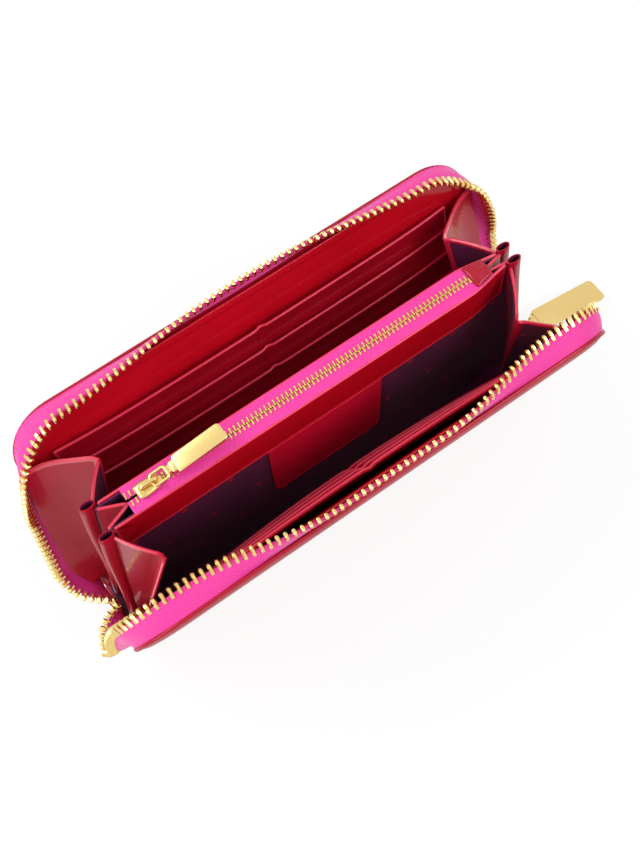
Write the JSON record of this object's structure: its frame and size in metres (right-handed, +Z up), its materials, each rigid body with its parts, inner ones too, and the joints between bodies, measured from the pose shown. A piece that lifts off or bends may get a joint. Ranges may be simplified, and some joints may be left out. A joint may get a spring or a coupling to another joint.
{
  "type": "zip around wallet",
  "caption": "Long zip around wallet standing open on its spine, with gusseted ends, card pockets on both covers, a zipped coin pocket and swinging zip pulls.",
  "frame": {"origin": "under the middle of the spine, on the face that the wallet stands on", "axes": "+X along the spine towards the main slider, +Y towards the rear cover, +Z up"},
  "size_m": [0.2557, 0.0926, 0.1026],
  "materials": {
    "red_patent": "glossy patent, wrinkle free",
    "red_leather": "smooth, semi gloss",
    "pink_tape": "woven zip tape",
    "gold_metal": "polished gold plate",
    "purple_lining": "satin with small red dots",
    "board": "fibre board stiffener"
  },
  "bodies": {
    "case_core": {"spine_leather": "red_patent", "spine_lining": "purple_lining", "left_zip_end_tab": "red_leather", "right_zip_end_tab": "red_leather", "coin_pocket_rear_wall": "purple_lining", "coin_pocket_front_wall": "purple_lining", "coin_pocket_rear_band": "red_leather", "coin_pocket_front_band": "red_leather", "coin_pocket_patch": "red_leather", "left_coin_gusset": "purple_lining", "right_coin_gusset": "purple_lining", "rear_left_gusset_ridge": "red_patent", "rear_right_gusset_ridge": "red_patent", "front_left_gusset_ridge": "red_patent", "front_right_gusset_ridge": "red_patent", "coin_zip_rear_tape": "pink_tape", "coin_zip_front_tape": "pink_tape", "coin_zip_rear_teeth": "gold_metal", "coin_zip_front_teeth": "gold_metal", "coin_zip_end_tab": "red_leather"},
    "rear_cover": {"rear_cover_leather": "red_patent", "rear_cover_board": "board", "rear_cover_facing": "red_leather", "rear_card_pocket_1": "red_leather", "rear_card_pocket_2": "red_leather", "rear_card_pocket_3": "red_leather", "rear_card_pocket_4": "red_leather", "rear_zip_tape": "pink_tape", "rear_zip_teeth": "gold_metal", "rear_left_gusset_flange": "red_patent", "rear_right_gusset_flange": "red_patent"},
    "front_cover": {"front_cover_leather": "red_patent", "front_cover_board": "board", "front_cover_facing": "red_leather", "front_card_pocket_1": "red_leather", "front_card_pocket_2": "red_leather", "front_card_pocket_3": "red_leather", "front_card_pocket_4": "red_leather", "front_zip_tape": "pink_tape", "front_zip_teeth": "gold_metal", "front_left_gusset_flange": "red_patent", "front_right_gusset_flange": "red_patent"},
    "rear_left_outer_panel": {"rear_left_outer_gusset": "red_patent"},
    "rear_left_inner_panel": {"rear_left_inner_gusset": "red_patent"},
    "rear_right_outer_panel": {"rear_right_outer_gusset": "red_patent"},
    "rear_right_inner_panel": {"rear_right_inner_gusset": "red_patent"},
    "front_left_outer_panel": {"front_left_outer_gusset": "red_patent"},
    "front_left_inner_panel": {"front_left_inner_gusset": "red_patent"},
    "front_right_outer_panel": {"front_right_outer_gusset": "red_patent"},
    "front_right_inner_panel": {"front_right_inner_gusset": "red_patent"},
    "coin_slider": {"coin_zip_slider": "gold_metal"},
    "coin_link": {"coin_zip_link": "gold_metal"},
    "coin_pull": {"coin_zip_pull": "gold_metal"},
    "main_slider": {"main_zip_slider": "gold_metal"},
    "main_link": {"main_zip_link": "gold_metal"},
    "main_pull": {"main_zip_pull": "gold_metal"}
  },
  "joints": [
    {"name": "rear_cover_hinge", "type": "hinge", "parent": "case_core", "child": "rear_cover", "pos_m": [0, 0.0125, 0.0006], "axis": [-1, 0, 0], "range_deg": [-18, 4]},
    {"name": "front_cover_hinge", "type": "hinge", "parent": "case_core", "child": "front_cover", "pos_m": [0, -0.0125, 0.0006], "axis": [1, 0, 0], "range_deg": [-18, 4]},
    {"name": "rear_left_outer_gusset_fold", "type": "hinge", "parent": "rear_cover", "child": "rear_left_outer_panel", "pos_m": [-0.09, 0.00814, 0.00206], "axis": [0, -0.3173, -0.9483], "range_deg": [-39, 9]},
    {"name": "rear_left_inner_gusset_fold", "type": "hinge", "parent": "case_core", "child": "rear_left_inner_panel", "pos_m": [-0.093, 0.0063, 0.004], "axis": [0.1129, 0, 0.9936], "range_deg": [-48.5, 11]},
    {"name": "rear_right_outer_gusset_fold", "type": "hinge", "parent": "rear_cover", "child": "rear_right_outer_panel", "pos_m": [0.09, 0.00814, 0.00206], "axis": [0, 0.3173, 0.9483], "range_deg": [-39, 9]},
    {"name": "rear_right_inner_gusset_fold", "type": "hinge", "parent": "case_core", "child": "rear_right_inner_panel", "pos_m": [0.093, 0.0063, 0.004], "axis": [0.1129, 0, -0.9936], "range_deg": [-48.5, 11]},
    {"name": "front_left_outer_gusset_fold", "type": "hinge", "parent": "front_cover", "child": "front_left_outer_panel", "pos_m": [-0.09, -0.00814, 0.00206], "axis": [0, -0.3173, 0.9483], "range_deg": [-39, 9]},
    {"name": "front_left_inner_gusset_fold", "type": "hinge", "parent": "case_core", "child": "front_left_inner_panel", "pos_m": [-0.093, -0.0063, 0.004], "axis": [-0.1129, 0, -0.9936], "range_deg": [-48.5, 11]},
    {"name": "front_right_outer_gusset_fold", "type": "hinge", "parent": "front_cover", "child": "front_right_outer_panel", "pos_m": [0.09, -0.00814, 0.00206], "axis": [0, 0.3173, -0.9483], "range_deg": [-39, 9]},
    {"name": "front_right_inner_gusset_fold", "type": "hinge", "parent": "case_core", "child": "front_right_inner_panel", "pos_m": [0.093, -0.0063, 0.004], "axis": [-0.1129, 0, 0.9936], "range_deg": [-48.5, 11]},
    {"name": "coin_slider_slide", "type": "slide", "parent": "case_core", "child": "coin_slider", "axis": [1, 0, 0], "range_m": [0, 0.12]},
    {"name": "coin_link_swing", "type": "hinge", "parent": "coin_slider", "child": "coin_link", "pos_m": [-0.0633, 0, 0.09412], "axis": [0, -1, 0], "range_deg": [0, 140]},
    {"name": "coin_pull_swing", "type": "hinge", "parent": "coin_link", "child": "coin_pull", "pos_m": [-0.05736, 0, 0.09495], "axis": [0, -1, 0], "range_deg": [0, 30]},
    {"name": "main_slider_slide", "type": "slide", "parent": "case_core", "child": "main_slider", "axis": [0, 0, 1], "range_m": [0, 0.055]},
    {"name": "main_link_swing", "type": "hinge", "parent": "main_slider", "child": "main_link", "pos_m": [0.10051, 0, 0.01392], "axis": [0, -1, 0], "range_deg": [0, 70]},
    {"name": "main_pull_swing", "type": "hinge", "parent": "main_link", "child": "main_pull", "pos_m": [0.10866, 0, 0.01189], "axis": [0, -1, 0], "range_deg": [0, 30]}
  ],
  "couplings": [
    {"joint": "rear_left_outer_gusset_fold", "follows": "rear_cover_hinge", "ratio": 2.1405},
    {"joint": "rear_left_inner_gusset_fold", "follows": "rear_cover_hinge", "ratio": 2.6649},
    {"joint": "rear_right_outer_gusset_fold", "follows": "rear_cover_hinge", "ratio": 2.1405},
    {"joint": "rear_right_inner_gusset_fold", "follows": "rear_cover_hinge", "ratio": 2.6649},
    {"joint": "front_left_outer_gusset_fold", "follows": "front_cover_hinge", "ratio": 2.1405},
    {"joint": "front_left_inner_gusset_fold", "follows": "front_cover_hinge", "ratio": 2.6649},
    {"joint": "front_right_outer_gusset_fold", "follows": "front_cover_hinge", "ratio": 2.1405},
    {"joint": "front_right_inner_gusset_fold", "follows": "front_cover_hinge", "ratio": 2.6649}
  ]
}
